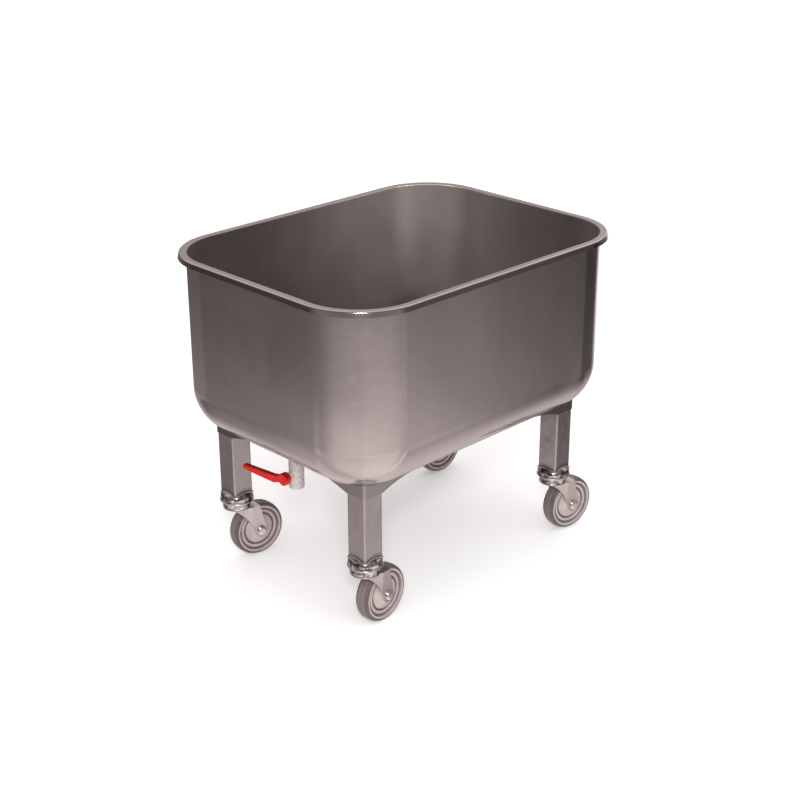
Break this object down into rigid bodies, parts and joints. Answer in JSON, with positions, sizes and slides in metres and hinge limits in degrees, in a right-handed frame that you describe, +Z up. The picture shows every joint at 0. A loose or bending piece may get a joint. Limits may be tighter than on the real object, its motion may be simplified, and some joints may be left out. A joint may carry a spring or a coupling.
{
  "type": "mobile tank",
  "caption": "Stainless steel tub with rounded corners on square tube legs with swivel casters and a drain valve with a red lever below, for dough or washing.",
  "frame": {"origin": "on the floor, under the middle of the tank", "axes": "+X along the tank's long side, away from the end with the drain valve; +Y along its short side; +Z up"},
  "size_m": [0.655, 0.5, 0.58],
  "materials": {
    "tub_steel": "drawn stainless sheet, satin, soft reflections",
    "leg_steel": "welded stainless tube and sheet, satin",
    "head_steel": "polished stainless",
    "fork_steel": "pressed stainless, smooth matt",
    "fastener_steel": "bright stainless",
    "wheel_grey": "moulded light grey nylon",
    "tyre_grey": "grey non-marking rubber, dusty",
    "bush_white": "plain bearing plastic",
    "valve_steel": "nickel plated, shot-blasted casting",
    "seat_white": "white seat ring plastic",
    "lever_red": "dipped red vinyl grip"
  },
  "bodies": {
    "chassis": {"tank_shell": "tub_steel", "king_bolts": "fastener_steel", "king_nuts": "fastener_steel", "drain_socket": "valve_steel", "valve_body": "valve_steel", "outlet_insert": "valve_steel", "ball_seats": "seat_white", "packing_nut": "fastener_steel", "leg_tube_front_left": "leg_steel", "corner_gusset_front_left": "leg_steel", "caster_head_front_left": "head_steel", "leg_tube_front_right": "leg_steel", "corner_gusset_front_right": "leg_steel", "caster_head_front_right": "head_steel", "leg_tube_rear_left": "leg_steel", "corner_gusset_rear_left": "leg_steel", "caster_head_rear_left": "head_steel", "leg_tube_rear_right": "leg_steel", "corner_gusset_rear_right": "leg_steel", "caster_head_rear_right": "head_steel"},
    "fork_front_left": {"caster_fork_front_left": "fork_steel", "swivel_race_front_left": "fork_steel", "swivel_balls_front_left": "fastener_steel", "axle_sleeve_front_left": "fastener_steel", "axle_bolt_front_left": "fastener_steel"},
    "wheel_front_left": {"wheel_rim_front_left": "wheel_grey", "tyre_front_left": "tyre_grey", "wheel_bush_front_left": "bush_white"},
    "fork_front_right": {"caster_fork_front_right": "fork_steel", "swivel_race_front_right": "fork_steel", "swivel_balls_front_right": "fastener_steel", "axle_sleeve_front_right": "fastener_steel", "axle_bolt_front_right": "fastener_steel"},
    "wheel_front_right": {"wheel_rim_front_right": "wheel_grey", "tyre_front_right": "tyre_grey", "wheel_bush_front_right": "bush_white"},
    "fork_rear_left": {"caster_fork_rear_left": "fork_steel", "swivel_race_rear_left": "fork_steel", "swivel_balls_rear_left": "fastener_steel", "axle_sleeve_rear_left": "fastener_steel", "axle_bolt_rear_left": "fastener_steel"},
    "wheel_rear_left": {"wheel_rim_rear_left": "wheel_grey", "tyre_rear_left": "tyre_grey", "wheel_bush_rear_left": "bush_white"},
    "fork_rear_right": {"caster_fork_rear_right": "fork_steel", "swivel_race_rear_right": "fork_steel", "swivel_balls_rear_right": "fastener_steel", "axle_sleeve_rear_right": "fastener_steel", "axle_bolt_rear_right": "fastener_steel"},
    "wheel_rear_right": {"wheel_rim_rear_right": "wheel_grey", "tyre_rear_right": "tyre_grey", "wheel_bush_rear_right": "bush_white"},
    "valve_handle": {"valve_ball": "fastener_steel", "valve_stem": "fastener_steel", "lever_core": "fastener_steel", "lever_grip": "lever_red", "lever_nut": "fastener_steel"}
  },
  "joints": [
    {"name": "swivel_front_left", "type": "hinge", "parent": "chassis", "child": "fork_front_left", "pos_m": [-0.2365, -0.165, 0.111], "axis": [0, 0, 1], "continuous": true},
    {"name": "wheel_spin_front_left", "type": "hinge", "parent": "fork_front_left", "child": "wheel_front_left", "pos_m": [-0.20064, -0.16186, 0.05], "axis": [0.0872, -0.9962, 0], "continuous": true},
    {"name": "swivel_front_right", "type": "hinge", "parent": "chassis", "child": "fork_front_right", "pos_m": [0.2365, -0.165, 0.111], "axis": [0, 0, 1], "continuous": true},
    {"name": "wheel_spin_front_right", "type": "hinge", "parent": "fork_front_right", "child": "wheel_front_right", "pos_m": [0.27215, -0.17001, 0.05], "axis": [-0.1392, -0.9903, 0], "continuous": true},
    {"name": "swivel_rear_left", "type": "hinge", "parent": "chassis", "child": "fork_rear_left", "pos_m": [-0.2365, 0.165, 0.111], "axis": [0, 0, 1], "continuous": true},
    {"name": "wheel_spin_rear_left", "type": "hinge", "parent": "fork_rear_left", "child": "wheel_rear_left", "pos_m": [-0.20085, 0.15999, 0.05], "axis": [-0.1392, -0.9903, 0], "continuous": true},
    {"name": "swivel_rear_right", "type": "hinge", "parent": "chassis", "child": "fork_rear_right", "pos_m": [0.2365, 0.165, 0.111], "axis": [0, 0, 1], "continuous": true},
    {"name": "wheel_spin_rear_right", "type": "hinge", "parent": "fork_rear_right", "child": "wheel_rear_right", "pos_m": [0.27241, 0.16249, 0.05], "axis": [-0.0698, -0.9976, 0], "continuous": true},
    {"name": "drain_lever", "type": "hinge", "parent": "chassis", "child": "valve_handle", "pos_m": [-0.237, 0, 0.22275], "axis": [-1, 0, 0], "range_deg": [0, 90]}
  ]
}
